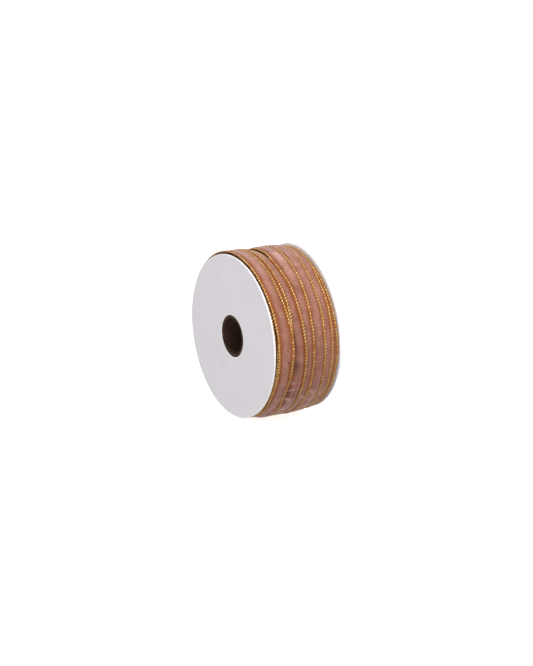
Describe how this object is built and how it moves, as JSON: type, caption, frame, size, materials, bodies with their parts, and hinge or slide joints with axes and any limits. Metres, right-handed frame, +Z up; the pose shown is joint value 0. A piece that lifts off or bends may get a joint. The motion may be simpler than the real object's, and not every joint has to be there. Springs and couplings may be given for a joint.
{
  "type": "ribbon spool",
  "caption": "Flanged cardboard spool wound with gold-edged velvet ribbon, with a taped free end that lifts off.",
  "frame": {"origin": "centre of the spool, on its spin axis, midway between the two flanges' outer faces", "axes": "+Y along the spin axis from the front flange to the rear flange, +Z up as the spool stands on its rim, +X to the right seen from the front flange"},
  "size_m": [0.1031, 0.0466, 0.103],
  "materials": {
    "white_board": "smooth matt white-lined board",
    "brown_core": "dark brown spiral-wound board",
    "glue": "dried translucent glue",
    "paper_tape": "creped paper tape",
    "clear_tape": "clear glossy film",
    "velvet": "dusty pink velvet pile",
    "velvet_pack": "wound velvet layers",
    "gold_lurex": "beaded gold metallic thread"
  },
  "bodies": {
    "spool": {"front_flange": "white_board", "rear_flange": "white_board", "core_tube": "brown_core", "front_glue_bead": "glue", "rear_glue_bead": "glue", "start_tape": "paper_tape", "inner_winding": "velvet_pack", "velvet_turn_1": "velvet", "gold_front_edge_turn_1": "gold_lurex", "gold_rear_edge_turn_1": "gold_lurex", "velvet_turn_2": "velvet", "gold_rear_edge_turn_2": "gold_lurex", "velvet_turn_3": "velvet", "gold_rear_edge_turn_3": "gold_lurex", "velvet_turn_4": "velvet", "gold_rear_edge_turn_4": "gold_lurex", "velvet_turn_5": "velvet", "gold_rear_edge_turn_5": "gold_lurex", "velvet_turn_6": "velvet", "gold_rear_edge_turn_6": "gold_lurex", "velvet_turn_7": "velvet", "gold_rear_edge_turn_7": "gold_lurex"},
    "ribbon_tail": {"tail_velvet": "velvet", "tail_gold_front_edge": "gold_lurex", "tail_gold_rear_edge": "gold_lurex", "end_tape": "clear_tape"}
  },
  "joints": [
    {"name": "tail_lift", "type": "hinge", "parent": "spool", "child": "ribbon_tail", "pos_m": [-0.03132, 0, 0.04009], "axis": [0, 1, 0], "range_deg": [0, 70]}
  ]
}
